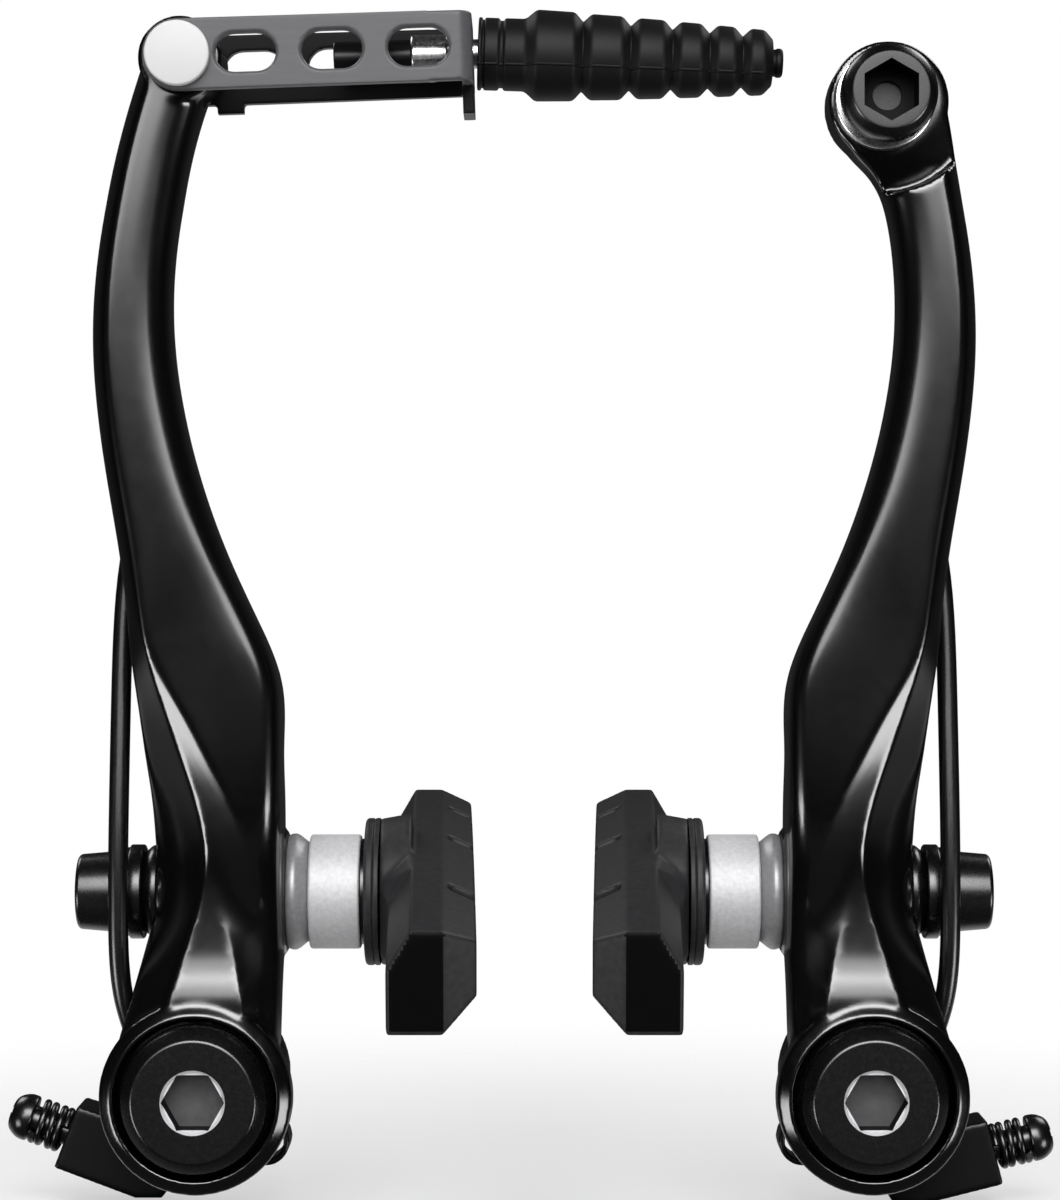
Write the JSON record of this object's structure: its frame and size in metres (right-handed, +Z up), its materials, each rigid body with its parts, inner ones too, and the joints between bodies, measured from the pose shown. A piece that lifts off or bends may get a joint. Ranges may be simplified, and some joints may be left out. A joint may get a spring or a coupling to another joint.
{
  "type": "v brake",
  "caption": "Linear-pull bicycle rim brake: mirrored black arms with pads, cable link with rubber boot, and clamp bolt.",
  "frame": {"origin": "midway between the two pivot axes, on the plane where the pivot bushes seat on the frame", "axes": "+Z up along the arms, +Y back into the frame along the pivots, +X to the right seen from the front"},
  "size_m": [0.1126, 0.0679, 0.1257],
  "materials": {
    "arm_paint": "gloss black paint",
    "black_steel": "black zinc",
    "black_wire": "black",
    "bright_steel": "bright plated",
    "blasted_aluminium": "bead blasted",
    "grey_washer": "grey satin",
    "link_steel": "grey satin",
    "holder_plastic": "moulded",
    "pad_rubber": "moulded matte",
    "boot_rubber": "moulded matte"
  },
  "bodies": {
    "pivots": {"left_pivot_bush": "bright_steel", "left_pivot_bolt": "black_steel", "left_spring_holder": "holder_plastic", "left_stop_pin": "bright_steel", "left_lock_spring": "black_wire", "right_pivot_bush": "bright_steel", "right_pivot_bolt": "black_steel", "right_spring_holder": "holder_plastic", "right_stop_pin": "bright_steel", "right_lock_spring": "black_wire"},
    "left_lever": {"left_arm": "arm_paint", "left_spring": "black_wire", "left_spring_peg": "bright_steel", "left_shoe_pad": "pad_rubber", "left_shoe_post": "bright_steel", "left_cup_spacer": "blasted_aluminium", "left_dome_washer": "grey_washer", "left_outer_dome_washer": "black_steel", "left_outer_cup_washer": "black_steel", "left_flat_washer": "black_steel", "left_shoe_nut": "black_steel"},
    "right_lever": {"right_arm": "arm_paint", "right_spring": "black_wire", "right_spring_peg": "bright_steel", "right_shoe_pad": "pad_rubber", "right_shoe_post": "bright_steel", "right_cup_spacer": "blasted_aluminium", "right_dome_washer": "grey_washer", "right_outer_dome_washer": "black_steel", "right_outer_cup_washer": "black_steel", "right_flat_washer": "black_steel", "right_shoe_nut": "black_steel", "cable_clamp_bolt": "black_steel", "cable_clamp_washer": "bright_steel"},
    "link": {"cable_link": "link_steel", "link_pin": "bright_steel", "guide_tube": "bright_steel", "guide_liner": "holder_plastic", "cable_boot": "boot_rubber"},
    "left_adjuster": {"left_adjusting_screw": "black_steel"},
    "right_adjuster": {"right_adjusting_screw": "black_steel"}
  },
  "joints": [
    {"name": "left_arm_pivot", "type": "hinge", "parent": "pivots", "child": "left_lever", "pos_m": [-0.03475, 0, 0], "axis": [0, 1, 0], "range_deg": [-30, 1], "stiffness_Nm_per_rad": 0.8},
    {"name": "right_arm_pivot", "type": "hinge", "parent": "pivots", "child": "right_lever", "pos_m": [0.03475, 0, 0], "axis": [0, -1, 0], "range_deg": [-30, 1], "stiffness_Nm_per_rad": 0.8},
    {"name": "link_swivel", "type": "hinge", "parent": "left_lever", "child": "link", "pos_m": [-0.0363, -0.0178, 0.1066], "axis": [0, 1, 0], "range_deg": [-60, 70]},
    {"name": "left_tension_screw", "type": "slide", "parent": "pivots", "child": "left_adjuster", "axis": [-0.9397, 0, 0.342], "range_m": [0, 0.0025]},
    {"name": "right_tension_screw", "type": "slide", "parent": "pivots", "child": "right_adjuster", "axis": [0.9724, 0, 0.2334], "range_m": [0, 0.0025]}
  ]
}
